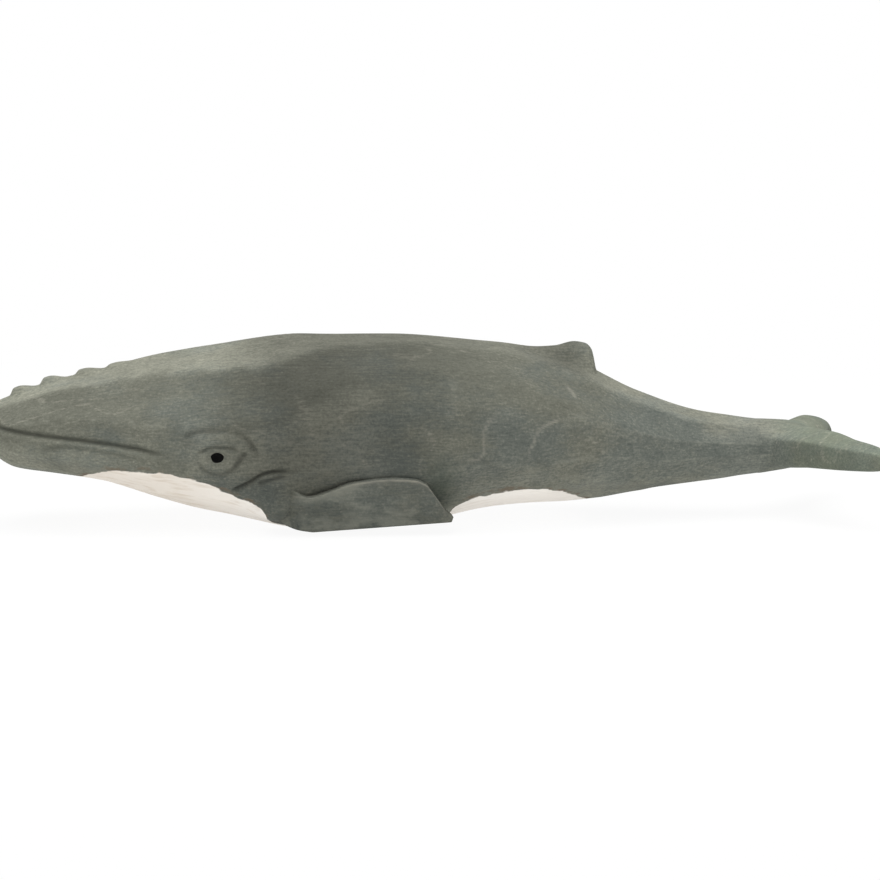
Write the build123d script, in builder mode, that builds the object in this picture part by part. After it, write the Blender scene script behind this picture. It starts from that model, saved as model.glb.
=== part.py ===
"""Carved wooden whale figurine: one stained block with glued-on flippers, tail fluke and eye pegs.

Millimetres. +X runs from the snout to the tail, +Z is up, and the whale's left flank faces -Y.
The origin lies on the table, under the middle of the figure's length and width.
"""

import os

from build123d import *

# The body: a block carved round, then pared flat underneath so that it stands
body_length = 151.0  # snout to the joint with the fluke
body_width = 42.0
body_height = 35.5
cut_overrun = 4.0  # how far a cutter runs past what it cuts

# The mouth line and the carved eyelids
groove_depth = 0.9
mouth_groove_width = 0.9
eyelid_length = 9.2
eyelid_height = 5.2
eyelid_groove_width = 0.8
eyelid_tilt = -8.0  # degrees, the rear corner lies lower

# The knobs along the top of the snout
knob_radius = 2.3
knob_stand_out = 0.9

# The dorsal fin, left standing on the block
fin_root_length = 21.0
fin_root_width = 7.5
fin_root_sink = 6.0  # root below the line of the back
fin_crest_length = 7.5
fin_crest_width = 3.0
fin_height = 3.8  # crest above the line of the back at the root's middle
fin_rake = 5.0  # the crest's middle lies this far behind the root's

# The flippers, each let into a flat seat in the flank
flipper_length = 36.5
flipper_height = 10.5
flipper_thickness = 6.0
flipper_seat_depth = 4.5  # seat below the widest line of the body
flipper_front = 52.0  # behind the snout
flipper_floor_gap = 0.8
flipper_dome_radius = 62.0
flipper_edge_radius = 0.9
seat_clearance = 0.15

# The tail fluke
fluke_length = 19.0  # joint to the tips
fluke_span = 56.0

# Dowels and eye pegs
flipper_dowel_diameter = 2.5
flipper_dowel_in_body = 7.0
flipper_dowel_in_flipper = 3.0
fluke_dowel_diameter = 3.0
fluke_dowel_in_body = 9.0
fluke_dowel_in_fluke = 5.0
dowel_chamfer = 0.3
glue_clearance = 0.05  # radial, round a dowel or peg
hole_end_gap = 0.4
eye_peg_diameter = 2.3
eye_peg_length = 6.0
eye_peg_dome = 0.6
eye_peg_sink = 0.1  # tip below the widest line of the flank

# Sections of the body from snout to tail joint, as shares: place along the length, then heights of
# the crown, the widest line and the belly in the body's height, then half width, then how full the
# crown and belly arcs are (0.55 is an ellipse)
body_section_shares = [
    (0.000, 0.557, 0.487, 0.422, 0.190, 0.55, 0.55),
    (0.012, 0.631, 0.485, 0.394, 0.380, 0.55, 0.55),
    (0.040, 0.721, 0.468, 0.337, 0.548, 0.54, 0.58),
    (0.086, 0.782, 0.445, 0.315, 0.680, 0.53, 0.60),
    (0.152, 0.831, 0.417, 0.275, 0.800, 0.53, 0.62),
    (0.219, 0.892, 0.403, 0.172, 0.895, 0.54, 0.64),
    (0.291, 0.944, 0.411, 0.095, 0.962, 0.56, 0.66),
    (0.404, 0.997, 0.445, -0.014, 1.000, 0.57, 0.72),
    (0.523, 0.994, 0.456, -0.014, 0.980, 0.57, 0.72),
    (0.642, 0.956, 0.462, 0.085, 0.876, 0.56, 0.66),
    (0.748, 0.846, 0.439, 0.118, 0.710, 0.54, 0.60),
    (0.841, 0.656, 0.400, 0.170, 0.520, 0.52, 0.56),
    (0.921, 0.546, 0.377, 0.211, 0.362, 0.52, 0.56),
    (1.000, 0.507, 0.372, 0.248, 0.262, 0.52, 0.56),
]
eye_section = body_section_shares[6]
tail_section = body_section_shares[-1]

# The mouth line, as shares of the body's length and height
mouth_line_shares = [(-0.02, 0.518), (0.079, 0.512), (0.139, 0.496), (0.192, 0.472), (0.24, 0.439)]
knob_place_shares = [0.038, 0.084, 0.128, 0.176]
fin_place_share = 0.725

# The flipper's outline, as shares of its length from the front and its height from the lower edge
flipper_upper_shares = [(0.0, 0.52), (0.1, 0.74), (0.3, 0.70), (0.45, 0.83), (0.66, 1.0), (0.87, 0.90)]
flipper_end_shares = [(0.87, 0.90), (1.0, 0.35), (0.985, 0.18), (0.30, 0.0)]
flipper_lower_shares = [(0.30, 0.0), (0.18, 0.04), (0.06, 0.22), (0.0, 0.52)]
flipper_dowel_shares = [(0.14, 0.48), (0.68, 0.58)]

# Sections of one fluke lobe, as shares: place across the half span, leading and trailing edges along
# the fluke's length, then mid height and thickness in the height of the tail joint
lobe_section_shares = [
    (0.00, 0.06, 0.66, 0.48, 0.90),
    (0.30, 0.18, 0.80, 0.56, 0.84),
    (0.65, 0.46, 0.92, 0.58, 0.70),
    (0.91, 0.76, 0.985, 0.53, 0.45),
    (1.00, 0.90, 1.00, 0.50, 0.18),
]
# The fluke's root from the joint rearwards, as shares: place along the fluke's length, then width and
# height of the tail section
fluke_root_shares = [(0.0, 1.0, 1.0), (0.28, 1.15, 0.80), (0.55, 1.05, 0.42)]

# Places that follow from the sizes
snout_x = -(body_length + fluke_length) / 2
joint_x = snout_x + body_length
seat_y = body_width / 2 - flipper_seat_depth
flipper_front_x = snout_x + flipper_front
eye_x = snout_x + eye_section[0] * body_length
eye_y = eye_section[4] * body_width / 2
eye_z = eye_section[2] * body_height
tail_z = tail_section[2] * body_height
tail_bottom = tail_section[3] * body_height
tail_height = (tail_section[1] - tail_section[3]) * body_height

left_seat_plane = Plane.XZ.offset(seat_y)
left_eye_plane = Plane.XZ.offset(eye_y)
joint_plane = Plane.YZ.offset(joint_x)


def along(share):
    """X of a share of the body's length behind the snout."""
    return snout_x + share * body_length


def back_height(share):
    """Height of the line of the back at a share of the body's length."""
    for front, rear in zip(body_section_shares, body_section_shares[1:]):
        if front[0] <= share <= rear[0]:
            way = (share - front[0]) / (rear[0] - front[0])
            return (front[1] + way * (rear[1] - front[1])) * body_height
    raise ValueError(f"{share} lies outside the body")


def egg_section(plane, crown, widest, belly, half_width, crown_fullness, belly_fullness):
    """Closed section of four arcs that meet at the crown, the belly and the two widest points."""
    crown_arm = widest + crown_fullness * (crown - widest)
    belly_arm = widest - belly_fullness * (widest - belly)
    crown_reach = crown_fullness * half_width
    belly_reach = belly_fullness * half_width
    with BuildSketch(plane) as section:
        with BuildLine():
            Bezier((0, crown), (crown_reach, crown), (half_width, crown_arm), (half_width, widest))
            Bezier((half_width, widest), (half_width, belly_arm), (belly_reach, belly), (0, belly))
            Bezier((0, belly), (-belly_reach, belly), (-half_width, belly_arm), (-half_width, widest))
            Bezier((-half_width, widest), (-half_width, crown_arm), (-crown_reach, crown), (0, crown))
        make_face()
    return section.sketch


def body_sections(inset=0.0):
    """The body's sections from snout to tail, each drawn in by inset."""
    sections = []
    for place, crown, widest, belly, half_width, crown_fullness, belly_fullness in body_section_shares:
        section = egg_section(
            Plane.YZ.offset(along(place)),
            crown * body_height - inset,
            widest * body_height,
            belly * body_height + inset,
            half_width * body_width / 2 - inset,
            crown_fullness,
            belly_fullness,
        )
        sections.append(section)
    return sections


def fluke_root_sections():
    """Sections of the fluke's root, which starts as the tail's own section and flattens rearwards."""
    _, crown, widest, belly, half_width, crown_fullness, belly_fullness = tail_section
    sections = []
    for place, width_share, height_share in fluke_root_shares:
        section = egg_section(
            joint_plane.offset(place * fluke_length),
            tail_z + height_share * (crown - widest) * body_height,
            tail_z,
            tail_z - height_share * (widest - belly) * body_height,
            width_share * half_width * body_width / 2,
            crown_fullness,
            belly_fullness,
        )
        sections.append(section)
    return sections


def lobe_sections():
    """Oval sections of the left lobe, from the middle of the fluke to its tip."""
    sections = []
    for place, leading, trailing, middle, thickness in lobe_section_shares:
        with BuildSketch(Plane.XZ.offset(place * fluke_span / 2)) as section:
            x = joint_x + (leading + trailing) / 2 * fluke_length
            with Locations((x, tail_bottom + middle * tail_height)):
                Ellipse((trailing - leading) / 2 * fluke_length, thickness / 2 * tail_height)
        sections.append(section.sketch)
    return sections


def flipper_points(shares, margin=0.0):
    """Points on the flipper in the side view, with its length and height grown by margin each way."""
    front = flipper_front_x - margin
    floor = flipper_floor_gap - margin
    length = flipper_length + 2 * margin
    height = flipper_height + 2 * margin
    return [(front + x * length, floor + z * height) for x, z in shares]


def flipper_outline(margin=0.0):
    """The flipper's side view, flat, grown by margin."""
    with BuildSketch() as outline:
        with BuildLine():
            Spline(*flipper_points(flipper_upper_shares, margin))
            Polyline(*flipper_points(flipper_end_shares, margin))
            Spline(*flipper_points(flipper_lower_shares, margin))
        make_face()
    return outline.sketch


# What the grooves don't reach: the body drawn in by their depth, without its blunt snout
with BuildPart() as core:
    loft(body_sections(groove_depth)[1:])

# The mouth line, a band along both cheeks and round the snout
with BuildPart() as mouth_groove:
    with BuildSketch(Plane.XZ):
        with BuildLine():
            Spline(*[(along(x), z * body_height) for x, z in mouth_line_shares])
        trace(line_width=mouth_groove_width)
    extrude(amount=body_width / 2 + cut_overrun, both=True)
    add(core.part, mode=Mode.SUBTRACT)

# The eyelids, a ring round each eye
with BuildPart() as eyelid_grooves:
    with BuildSketch(Plane.XZ):
        with Locations(Location((eye_x, eye_z), eyelid_tilt)):
            Ellipse(eyelid_length / 2, eyelid_height / 2)
            Ellipse(
                eyelid_length / 2 - eyelid_groove_width,
                eyelid_height / 2 - eyelid_groove_width,
                mode=Mode.SUBTRACT,
            )
    extrude(amount=body_width / 2 + cut_overrun, both=True)
    add(core.part, mode=Mode.SUBTRACT)

# The dorsal fin
with BuildPart() as fin:
    fin_x = along(fin_place_share)
    fin_base_z = back_height(fin_place_share)
    with BuildSketch(Plane.XY.offset(fin_base_z - fin_root_sink)):
        with Locations((fin_x, 0)):
            Ellipse(fin_root_length / 2, fin_root_width / 2)
    with BuildSketch(Plane.XY.offset(fin_base_z + fin_height)):
        with Locations((fin_x + fin_rake, 0)):
            Ellipse(fin_crest_length / 2, fin_crest_width / 2)
    loft()

# What is cut for the left flipper and eye: a seat, its dowel holes and the peg's hole
with BuildPart() as left_seat:
    with BuildSketch(left_seat_plane):
        add(flipper_outline(seat_clearance))
    extrude(amount=flipper_seat_depth + cut_overrun)
    with Locations(left_seat_plane):
        with Locations(*flipper_points(flipper_dowel_shares)):
            Cylinder(
                flipper_dowel_diameter / 2 + glue_clearance,
                flipper_dowel_in_body + hole_end_gap,
                align=(Align.CENTER, Align.CENTER, Align.MAX),
            )
    with Locations(left_eye_plane):
        with Locations((eye_x, eye_z, cut_overrun)):
            Cylinder(
                eye_peg_diameter / 2 + glue_clearance,
                eye_peg_length + eye_peg_sink + hole_end_gap + cut_overrun,
                align=(Align.CENTER, Align.CENTER, Align.MAX),
            )

with BuildPart() as body:
    loft(body_sections())
    with Locations(
        *[(along(x), 0, back_height(x) + knob_stand_out - knob_radius) for x in knob_place_shares]
    ):
        Sphere(knob_radius)
    add(fin.part)
    split(bisect_by=Plane.XY, keep=Keep.TOP)
    add(mouth_groove.part, mode=Mode.SUBTRACT)
    add(eyelid_grooves.part, mode=Mode.SUBTRACT)
    add(left_seat.part, mode=Mode.SUBTRACT)
    add(mirror(left_seat.part, about=Plane.XZ, mode=Mode.PRIVATE), mode=Mode.SUBTRACT)
    with Locations(joint_plane):
        with Locations((0, tail_z)):
            Hole(fluke_dowel_diameter / 2 + glue_clearance, depth=fluke_dowel_in_body + hole_end_gap)
body.part.label = "body"

# A flipper: a paddle with a flat back, a domed face and softened edges
with BuildPart() as left_flipper:
    with BuildSketch(left_seat_plane):
        add(flipper_outline())
    extrude(amount=flipper_thickness)
    with Locations(
        (
            flipper_front_x + flipper_length / 2,
            flipper_dome_radius - seat_y - flipper_thickness,
            flipper_floor_gap + flipper_height / 2,
        )
    ):
        Sphere(flipper_dome_radius, mode=Mode.INTERSECT)
    dome = left_flipper.faces().sort_by(Axis.Y)[0]
    fillet(dome.edges(), radius=flipper_edge_radius)
    with Locations(left_seat_plane):
        with Locations(*flipper_points(flipper_dowel_shares)):
            Hole(flipper_dowel_diameter / 2 + glue_clearance, depth=flipper_dowel_in_flipper + hole_end_gap)
left_flipper.part.label = "left_flipper"

with BuildPart() as right_flipper:
    mirror(left_flipper.part, about=Plane.XZ)
right_flipper.part.label = "right_flipper"

# Two dowels behind each flipper
with BuildPart() as left_dowels:
    with Locations(left_seat_plane):
        with Locations(*[(x, z, flipper_dowel_in_flipper) for x, z in flipper_points(flipper_dowel_shares)]):
            Cylinder(
                flipper_dowel_diameter / 2,
                flipper_dowel_in_flipper + flipper_dowel_in_body,
                align=(Align.CENTER, Align.CENTER, Align.MAX),
            )
    chamfer(left_dowels.edges().filter_by(GeomType.CIRCLE), length=dowel_chamfer)

with BuildPart() as flipper_dowels:
    add(left_dowels.part)
    mirror(left_dowels.part, about=Plane.XZ)
flipper_dowels.part.label = "flipper_dowels"

# The tail fluke: two lobes on a root that continues the tail
with BuildPart() as left_lobe:
    loft(lobe_sections())

with BuildPart() as tail_fluke:
    loft(fluke_root_sections())
    add(left_lobe.part)
    mirror(left_lobe.part, about=Plane.XZ)
    with Locations(joint_plane):
        with Locations((0, tail_z)):
            Hole(fluke_dowel_diameter / 2 + glue_clearance, depth=fluke_dowel_in_fluke + hole_end_gap)
tail_fluke.part.label = "tail_fluke"

with BuildPart() as fluke_dowel:
    with Locations(joint_plane):
        with Locations((0, tail_z, fluke_dowel_in_fluke)):
            Cylinder(
                fluke_dowel_diameter / 2,
                fluke_dowel_in_fluke + fluke_dowel_in_body,
                align=(Align.CENTER, Align.CENTER, Align.MAX),
            )
    chamfer(fluke_dowel.edges().filter_by(GeomType.CIRCLE), length=dowel_chamfer)
fluke_dowel.part.label = "fluke_dowel"

# The pupils: black pegs with a domed tip
with BuildPart() as left_eye_peg:
    with Locations(left_eye_plane):
        with Locations((eye_x, eye_z, -eye_peg_sink)):
            Cylinder(eye_peg_diameter / 2, eye_peg_length, align=(Align.CENTER, Align.CENTER, Align.MAX))
    tip = left_eye_peg.edges().filter_by(GeomType.CIRCLE).sort_by(Axis.Y)[0]
    fillet(tip, radius=eye_peg_dome)
left_eye_peg.part.label = "left_eye_peg"

with BuildPart() as right_eye_peg:
    mirror(left_eye_peg.part, about=Plane.XZ)
right_eye_peg.part.label = "right_eye_peg"

os.makedirs("parts", exist_ok=True)
for piece in (
    body,
    left_flipper,
    right_flipper,
    flipper_dowels,
    tail_fluke,
    fluke_dowel,
    left_eye_peg,
    right_eye_peg,
):
    export_step(piece.part, f"parts/{piece.part.label}.step")
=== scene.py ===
"""Looks of a carved wooden whale: knife-cut stained wood, a brushed pale belly and black eye pegs.

Shapes are worked out in millimetres in the part's own frame (+X towards the tail, +Z up, the left
flank facing -Y) and become metres when a mesh is made.
"""

import logging
import math
from dataclasses import dataclass
from enum import Enum

import bpy
import numpy as np
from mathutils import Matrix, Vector

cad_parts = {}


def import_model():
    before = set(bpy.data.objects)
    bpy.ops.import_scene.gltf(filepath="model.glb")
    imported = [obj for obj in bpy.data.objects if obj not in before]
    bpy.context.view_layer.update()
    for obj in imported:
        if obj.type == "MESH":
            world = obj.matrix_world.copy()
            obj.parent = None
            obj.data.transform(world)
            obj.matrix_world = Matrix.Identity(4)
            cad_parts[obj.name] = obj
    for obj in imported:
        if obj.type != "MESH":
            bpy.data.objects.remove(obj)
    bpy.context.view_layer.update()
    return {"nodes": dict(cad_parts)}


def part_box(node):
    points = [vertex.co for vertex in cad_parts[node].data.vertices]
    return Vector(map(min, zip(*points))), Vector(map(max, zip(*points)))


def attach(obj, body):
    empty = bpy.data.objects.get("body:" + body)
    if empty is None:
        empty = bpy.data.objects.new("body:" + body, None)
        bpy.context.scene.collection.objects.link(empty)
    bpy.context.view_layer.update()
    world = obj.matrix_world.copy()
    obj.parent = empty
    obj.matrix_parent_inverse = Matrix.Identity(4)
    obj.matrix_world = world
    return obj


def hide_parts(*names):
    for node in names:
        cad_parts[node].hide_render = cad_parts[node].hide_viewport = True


LOG = logging.getLogger("whale")
MM = 0.001
Array = np.ndarray
WHITE = (1.0, 1.0, 1.0, 1.0)


class Slot(Enum):
    """Names of the record's material slots."""

    WOOD = "stained_wood"
    EYE = "eye_black"


def srgb(red: float, green: float, blue: float) -> tuple[float, float, float, float]:
    """Turns a colour of 0 to 255 screen values into a linear colour.

    Args:
        red: Screen red.
        green: Screen green.
        blue: Screen blue.

    Returns:
        The linear colour with full alpha.
    """
    shares = [value / 255 for value in (red, green, blue)]
    linear = [((s + 0.055) / 1.055) ** 2.4 if s > 0.04 else s / 12.92 for s in shares]
    return (linear[0], linear[1], linear[2], 1.0)


def smooth_step(low: float, high: float, value: Array) -> Array:
    """Eases from 0 at low to 1 at high, with no slope at either end."""
    share = np.clip((value - low) / (high - low), 0.0, 1.0)
    return share * share * (3.0 - 2.0 * share)


def bell(distance: Array, width: float) -> Array:
    """A bell of height 1 that has fallen to about a third at width."""
    return np.exp(-((distance / width) ** 2))


def oval_bell(x: Array, z: Array, middle: tuple[float, float], radii: tuple[float, float]) -> Array:
    """A bell of height 1 over an oval in the side view."""
    return bell(np.hypot((x - middle[0]) / radii[0], (z - middle[1]) / radii[1]), 1.0)


def faded(way: Array, risen: float, falling: float) -> Array:
    """Fades a line in until it has risen, and out from where it is falling to its end at 1."""
    return smooth_step(0.0, risen, way) * (1.0 - smooth_step(falling, 1.0, way))


def soft_max(first: Array, second: Array, radius: float) -> Array:
    """The larger of two values, with the corner between them rounded over radius."""
    overlap = np.clip(radius - np.abs(first - second), 0.0, None)
    return np.maximum(first, second) + overlap * overlap / (4.0 * radius)


def flowing_curve(places: Array, values: Array, at: Array) -> Array:
    """Reads a smooth curve through given values that never overshoots them.

    Piecewise cubics join the values. The slope at each value is the harmonic mean of the slopes on its
    two sides, or zero where those differ in sign.

    Args:
        places: Rising places of the values.
        values: One value, or one row of values, for each place.
        at: Places to read.

    Returns:
        The curve at those places, one row each where values has rows.
    """
    places = np.asarray(places, float)
    values = np.asarray(values, float).reshape(len(places), -1)
    steps = np.diff(places)[:, None]
    rises = np.diff(values, axis=0) / steps
    before, after = rises[:-1], rises[1:]
    total = np.where(before * after > 0, before + after, 1.0)
    inner = np.where(before * after > 0, 2.0 * before * after / total, 0.0)
    slopes = np.vstack([rises[:1], inner, rises[-1:]])
    at = np.clip(at, places[0], places[-1])
    span = np.clip(np.searchsorted(places, at, side="right") - 1, 0, len(places) - 2)
    share = ((at - places[span]) / np.diff(places)[span])[:, None]
    width = steps[span]
    curve = (
        (1 + 2 * share) * (1 - share) ** 2 * values[span]
        + share * (1 - share) ** 2 * width * slopes[span]
        + share**2 * (3 - 2 * share) * values[span + 1]
        - share**2 * (1 - share) * width * slopes[span + 1]
    )
    return curve[:, 0] if curve.shape[1] == 1 else curve


def spread_by_density(
    low: float, high: float, count: int, peaks: list[tuple[float, float, float]]
) -> Array:
    """Spreads places over a range, closer together round some of them.

    Args:
        low: First place.
        high: Last place.
        count: Number of places.
        peaks: For each crowded stretch its middle, its half width and how much denser it is.

    Returns:
        Rising places, the first at low and the last at high.
    """
    fine = np.linspace(low, high, 4000)
    density = 1.0 + sum(extra * bell(fine - middle, width) for middle, width, extra in peaks)
    total = np.concatenate([[0.0], np.cumsum((density[1:] + density[:-1]) / 2)])
    return np.interp(np.linspace(0.0, total[-1], count), total, fine)


def line_distance(x: Array, z: Array, points: list[tuple[float, float]]) -> tuple[Array, Array]:
    """Distance in the side view from a line of straight runs.

    Args:
        x: Places along the body.
        z: Heights, in the same shape.
        points: Corners of the line.

    Returns:
        The distance to the line, and how far along its length the nearest point is, from 0 to 1.
    """
    corners = np.asarray(points, float)
    runs = np.diff(corners, axis=0)
    lengths = np.linalg.norm(runs, axis=1)
    starts = np.concatenate([[0.0], np.cumsum(lengths)])
    place = np.stack([x, z], axis=-1)[..., None, :] - corners[:-1]
    share = np.clip((place * runs).sum(-1) / lengths**2, 0.0, 1.0)
    apart = np.linalg.norm(place - share[..., None] * runs, axis=-1)
    nearest = apart.argmin(-1)
    way = starts[nearest] + np.take_along_axis(share, nearest[..., None], -1)[..., 0] * lengths[nearest]
    return apart.min(-1), way / starts[-1]


def smooth_line(points: list[tuple[float, float]], count: int) -> list[tuple[float, float]]:
    """Rounds a line into many short runs along a flowing curve through its points."""
    corners = np.asarray(points, float)
    lengths = np.linalg.norm(np.diff(corners, axis=0), axis=1)
    starts = np.concatenate([[0.0], np.cumsum(lengths)])
    drawn = flowing_curve(starts, corners, np.linspace(0.0, starts[-1], count))
    return [tuple(point) for point in drawn]


def grid_faces(rows: int, columns: int) -> Array:
    """Quads of a grid whose last column joins its first, row by row."""
    row, column = np.meshgrid(np.arange(rows - 1), np.arange(columns), indexing="ij")
    following = (column + 1) % columns
    corners = [
        row * columns + column,
        row * columns + following,
        (row + 1) * columns + following,
        (row + 1) * columns + column,
    ]
    return np.stack(corners, axis=-1).reshape(-1, 4)


def fan_faces(ring_start: int, columns: int, tip: int, flip: bool) -> Array:
    """Triangles that close a ring of points onto one tip."""
    column = np.arange(columns)
    first = ring_start + column
    second = ring_start + (column + 1) % columns
    if flip:
        first, second = second, first
    return np.stack([np.full(columns, tip), first, second], axis=-1)


def close_ends(grid: Array, tips: Array | None = None) -> tuple[Array, list]:
    """Closes a grid of rings with a fan of triangles at each end.

    Args:
        grid: Points as rings by columns by (x, y, z).
        tips: Tip of the first fan and of the last. Without them each is the middle of its ring.

    Returns:
        The points one row each, the tips last, and the faces as lists of point numbers.
    """
    rings, columns, _ = grid.shape
    tips = grid[[0, -1]].mean(axis=1) if tips is None else tips
    points = np.vstack([grid.reshape(-1, 3), tips])
    faces = grid_faces(rings, columns).tolist()
    faces += fan_faces(0, columns, len(points) - 2, True).tolist()
    faces += fan_faces((rings - 1) * columns, columns, len(points) - 1, False).tolist()
    return points, faces


def set_marks(mesh: bpy.types.Mesh, marks: dict[str, Array]) -> None:
    """Gives a mesh named values, one for each point, for its finish to read."""
    for name, values in marks.items():
        attribute = mesh.attributes.new(name, "FLOAT", "POINT")
        attribute.data.foreach_set("value", np.ascontiguousarray(values, np.float32))


def make_piece(
    name: str, points: Array, faces: list, marks: dict[str, Array] | None = None
) -> bpy.types.Object:
    """Makes a smooth-shaded mesh object at the origin, with its place in its mesh.

    Args:
        name: The piece's name.
        points: Points in millimetres, one row each.
        faces: Lists of point numbers.
        marks: Named values, one for each point, for the finish to read.

    Returns:
        The new object.
    """
    mesh = bpy.data.meshes.new(name)
    mesh.from_pydata((points * MM).tolist(), [], faces)
    set_marks(mesh, marks or {})
    mesh.polygons.foreach_set("use_smooth", np.ones(len(mesh.polygons), bool))
    mesh.update()
    piece = bpy.data.objects.new(name, mesh)
    bpy.context.scene.collection.objects.link(piece)
    return piece


class Shade:
    """One output of a shader node, with the sums that finishes write as plain expressions."""

    def __init__(self, finish: "Finish", socket: bpy.types.NodeSocket) -> None:
        """Holds the socket and the finish that it belongs to."""
        self.finish = finish
        self.socket = socket

    def _math(self, operation: str, *values: object) -> "Shade":
        """Adds a Math node for one operation."""
        sockets = dict(enumerate(values))
        return self.finish.node("ShaderNodeMath", {"operation": operation}, sockets)

    def __add__(self, other: object) -> "Shade":
        """Sum."""
        return self._math("ADD", self, other)

    __radd__ = __add__

    def __sub__(self, other: object) -> "Shade":
        """Difference."""
        return self._math("SUBTRACT", self, other)

    def __rsub__(self, other: object) -> "Shade":
        """Difference the other way round."""
        return self._math("SUBTRACT", other, self)

    def __mul__(self, other: object) -> "Shade":
        """Product."""
        return self._math("MULTIPLY", self, other)

    __rmul__ = __mul__

    def size(self) -> "Shade":
        """This value without its sign."""
        return self._math("ABSOLUTE", self)

    def at_least(self, other: object) -> "Shade":
        """The larger of this value and another."""
        return self._math("MAXIMUM", self, other)

    def eased(self, low: float, high: float) -> "Shade":
        """Eases from 0 at low to 1 at high."""
        settings = {"interpolation_type": "SMOOTHSTEP"}
        sockets = {"Value": self, "From Min": low, "From Max": high}
        return self.finish.node("ShaderNodeMapRange", settings, sockets)


class Finish:
    """A material under construction, with one method that adds any node."""

    def __init__(self, name: str) -> None:
        """Starts an empty material."""
        self.material = bpy.data.materials.new(name)
        self.material.use_nodes = True
        self.tree = self.material.node_tree
        self.tree.nodes.clear()

    def node(
        self,
        kind: str,
        settings: dict | None = None,
        sockets: dict | None = None,
        output: int | str = 0,
    ) -> Shade:
        """Adds a node.

        Args:
            kind: The node's type name.
            settings: Properties, set before the sockets. A key "stops" fills a colour ramp.
            sockets: Values or links, by socket name or number.
            output: Name or number of the output that is wanted.

        Returns:
            That output.
        """
        made = self.tree.nodes.new(kind)
        for key, value in (settings or {}).items():
            if key == "stops":
                self._fill_ramp(made.color_ramp, value)
            else:
                setattr(made, key, value)
        for key, value in (sockets or {}).items():
            if isinstance(value, Shade):
                self.tree.links.new(value.socket, made.inputs[key])
            else:
                made.inputs[key].default_value = value
        return Shade(self, made.outputs[output])

    @staticmethod
    def _fill_ramp(ramp: bpy.types.ColorRamp, stops: list[tuple[float, tuple]]) -> None:
        """Sets a colour ramp's stops from places and colours."""
        while len(ramp.elements) < len(stops):
            ramp.elements.new(0.5)
        for element, (place, colour) in zip(ramp.elements, stops):
            element.position = place
            element.color = colour

    def coordinates(self) -> Shade:
        """Object coordinates, in metres."""
        return self.node("ShaderNodeTexCoord", output="Object")

    def noise(self, place: Shade, scale: float, detail: float = 3.0, roughness: float = 0.55) -> Shade:
        """Cloudy noise from about 0 to 1."""
        sockets = {"Vector": place, "Scale": scale, "Detail": detail, "Roughness": roughness}
        return self.node("ShaderNodeTexNoise", {"noise_dimensions": "3D"}, sockets, "Fac")

    def drawn_noise(
        self,
        place: Shade,
        scale: tuple[float, float, float],
        detail: float = 3.0,
        roughness: float = 0.55,
    ) -> Shade:
        """Cloudy noise with its own scale on each axis, so that it is drawn out along the wood."""
        stretched = self.node("ShaderNodeMapping", {}, {"Vector": place, "Scale": scale})
        return self.noise(stretched, 1.0, detail, roughness)

    def mark(self, name: str) -> Shade:
        """A named value of the piece's points."""
        return self.node("ShaderNodeAttribute", {"attribute_name": name}, output="Fac")

    def ray(self, kind: str) -> Shade:
        """Whether the ray that meets the surface is of one kind."""
        return self.node("ShaderNodeLightPath", output=f"Is {kind} Ray")

    def mixed(self, share: object, first: object, second: object, blend: str = "MIX") -> Shade:
        """Mixes two colours."""
        settings = {"data_type": "RGBA", "blend_type": blend, "clamp_factor": True}
        return self.node("ShaderNodeMix", settings, {0: share, 6: first, 7: second}, 2)

    def ramp(self, value: Shade, stops: list[tuple[float, tuple]]) -> Shade:
        """Reads a colour from a ramp."""
        return self.node("ShaderNodeValToRGB", {"stops": stops}, {"Fac": value}, "Color")

    def bump(self, relief: Shade, strength: float, height: float) -> Shade:
        """A normal tilted by a relief, which is as high as height in metres."""
        sockets = {"Strength": strength, "Distance": height, "Height": relief}
        return self.node("ShaderNodeBump", {}, sockets)

    def surface(self, sockets: dict) -> bpy.types.Material:
        """Ends the material with a principled shader.

        Args:
            sockets: The shader's values and links.

        Returns:
            The finished material.
        """
        shader = self.node("ShaderNodeBsdfPrincipled", {}, sockets)
        self.output(shader)
        return self.material

    def output(self, shader: Shade) -> None:
        """Links a shader to the material's output."""
        output = self.tree.nodes.new("ShaderNodeOutputMaterial")
        self.tree.links.new(shader.socket, output.inputs["Surface"])


# How often a pattern repeats along the wood and across it, in each metre
MOTTLE_SCALE = (150, 250, 250)
DASH_SCALE = (560, 2300, 2300)
FIBRE_SCALE = (90, 3300, 3300)
PATCH_SCALE = (60, 95, 95)
RING_SCALE = (34, 62, 62)
FLECK_SCALE = (700, 1300, 1300)
BRUSH_SCALE = (70, 900, 900)
RAGGED_SCALE = (240, 420, 420)
PEG_STREAK_SCALE = (1800, 260, 1800)
CLOUD_SCALE = 48.0
GRAIN_SCALE = 2100.0
SPOT_SCALE = 900.0


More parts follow.
